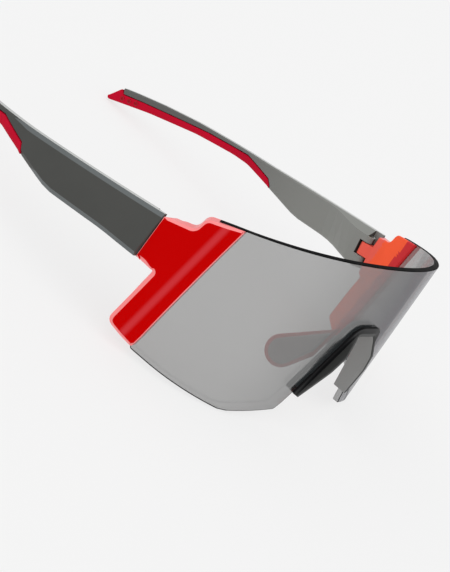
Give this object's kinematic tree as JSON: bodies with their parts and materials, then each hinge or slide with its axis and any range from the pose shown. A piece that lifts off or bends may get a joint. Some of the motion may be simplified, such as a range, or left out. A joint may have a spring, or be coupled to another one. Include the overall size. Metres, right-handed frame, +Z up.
{
  "type": "wraparound sport sunglasses",
  "caption": "Wraparound shield sport sunglasses: a curved one-piece lens held by T-shaped end pieces, folding temples with rubber ear grips, and a nose bracket with pads.",
  "frame": {"origin": "centre of the footprint of the open glasses, on the ground plane they stand on", "axes": "+Z up from the ground, +Y from the lens to the ear tips, +X the wearer's left"},
  "size_m": [0.148, 0.1708, 0.0607],
  "materials": {
    "lens": "smoke tint, light silver flash",
    "bracket": "satin black",
    "end_piece": "gloss red",
    "temple": "satin gunmetal grey",
    "ear_grip": "soft matte red",
    "screw": "turned steel",
    "insert": "turned brass",
    "pad_carrier": "gloss red",
    "nose_pad": "soft matte grey"
  },
  "bodies": {
    "front": {"shield_lens": "lens", "nose_bracket": "bracket", "left_end_piece": "end_piece", "left_lens_peg_upper": "end_piece", "left_lens_peg_lower": "end_piece", "left_nose_pad_carrier": "pad_carrier", "left_nose_pad": "nose_pad", "right_end_piece": "end_piece", "right_lens_peg_upper": "end_piece", "right_lens_peg_lower": "end_piece", "right_nose_pad_carrier": "pad_carrier", "right_nose_pad": "nose_pad"},
    "left_arm": {"left_temple": "temple", "left_ear_grip": "ear_grip", "left_hinge_screw": "screw", "left_hinge_insert": "insert"},
    "right_arm": {"right_temple": "temple", "right_ear_grip": "ear_grip", "right_hinge_screw": "screw", "right_hinge_insert": "insert"}
  },
  "joints": [
    {"name": "left_temple_fold", "type": "hinge", "parent": "front", "child": "left_arm", "pos_m": [0.0651, -0.03555, 0.03374], "axis": [0, 0.2577, 0.9662], "range_deg": [0, 85]},
    {"name": "right_temple_fold", "type": "hinge", "parent": "front", "child": "right_arm", "pos_m": [-0.0651, -0.03555, 0.03374], "axis": [0, -0.2577, -0.9662], "range_deg": [0, 77]}
  ]
}
